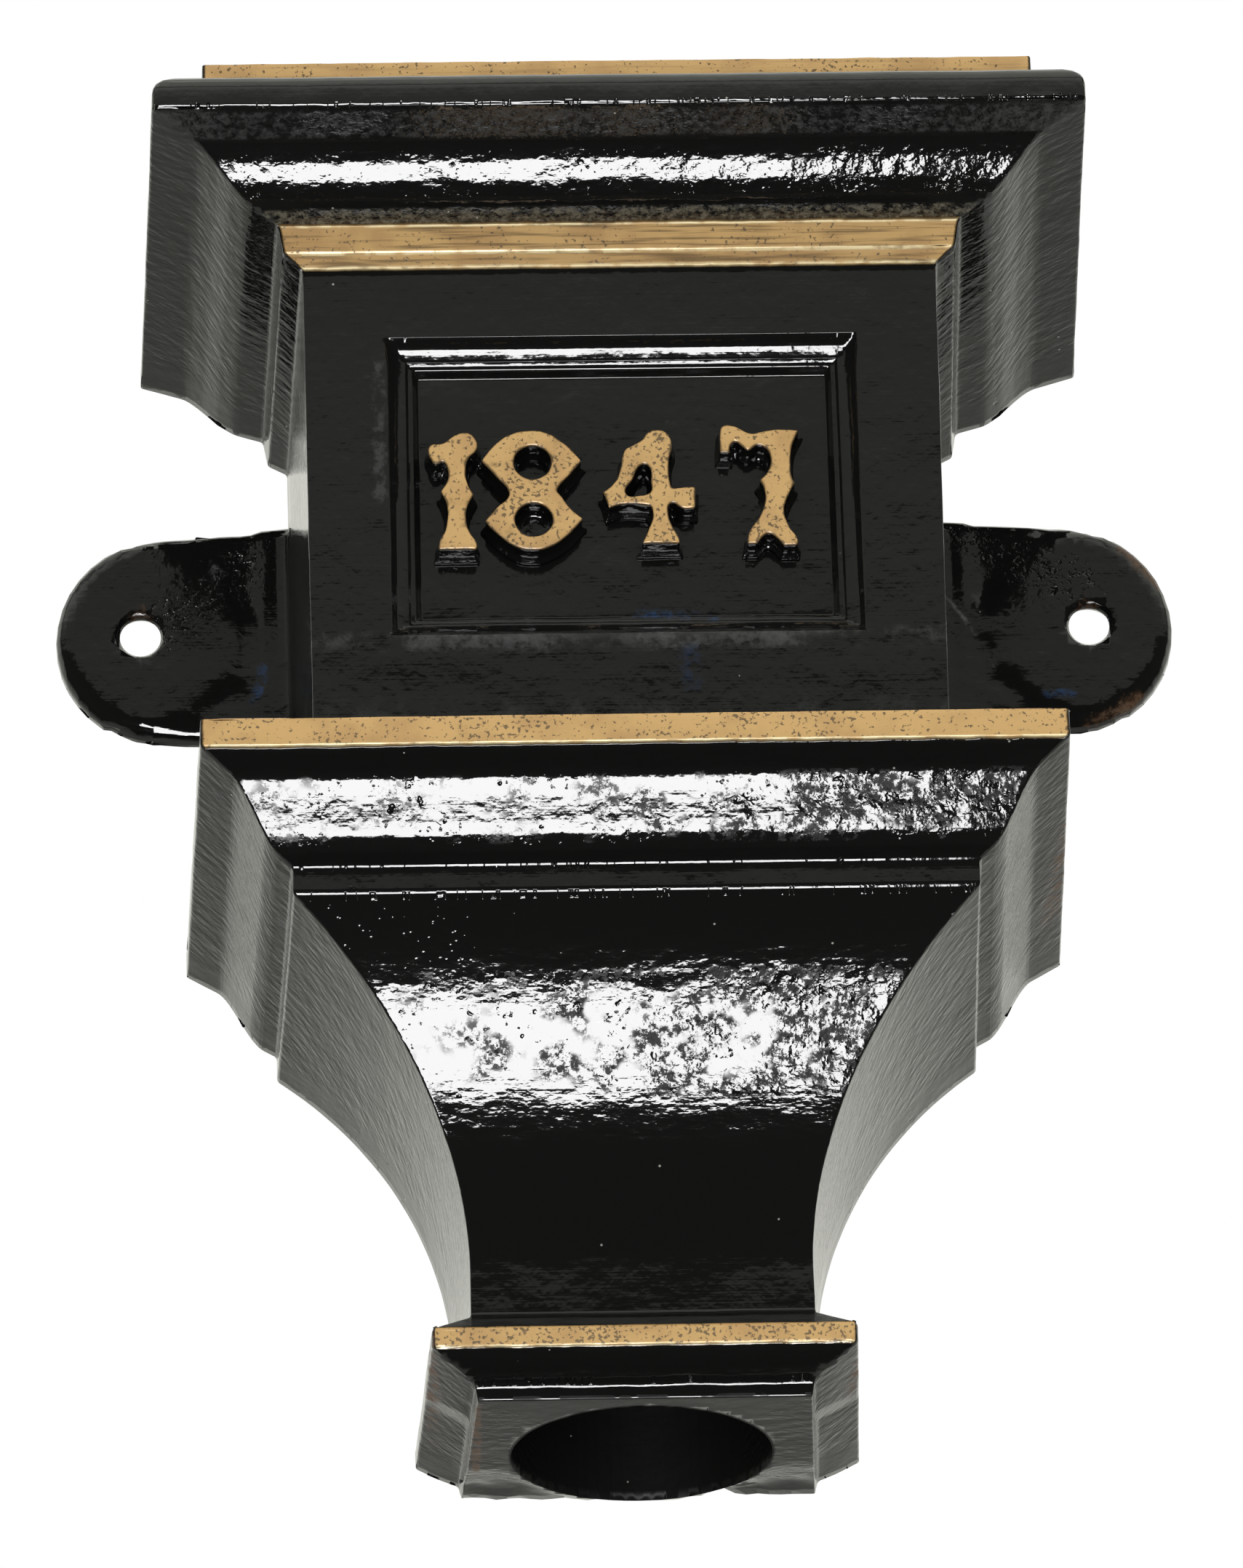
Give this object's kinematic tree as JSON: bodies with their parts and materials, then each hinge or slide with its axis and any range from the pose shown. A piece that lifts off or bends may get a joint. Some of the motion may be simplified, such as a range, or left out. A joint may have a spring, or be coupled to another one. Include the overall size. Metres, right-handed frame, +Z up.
{
  "type": "downpipe hopper head",
  "caption": "Cast-iron rainwater hopper head: open moulded box with a sunk front panel and fixing ears, above a trumpet flare and a square collar round a pipe outlet.",
  "frame": {"origin": "on the flat back face that lies on the wall, midway between the two fixing holes", "axes": "+Z up, +Y into the wall, so the moulded front faces -Y, and X across from ear to ear"},
  "size_m": [0.3476, 0.1756, 0.401],
  "materials": {
    "painted_iron": "gloss black paint over pitted cast iron, with gilt paint on the raised mouldings and figures"
  },
  "bodies": {
    "root": {"hopper_casting": "painted_iron"}
  },
  "joints": []
}
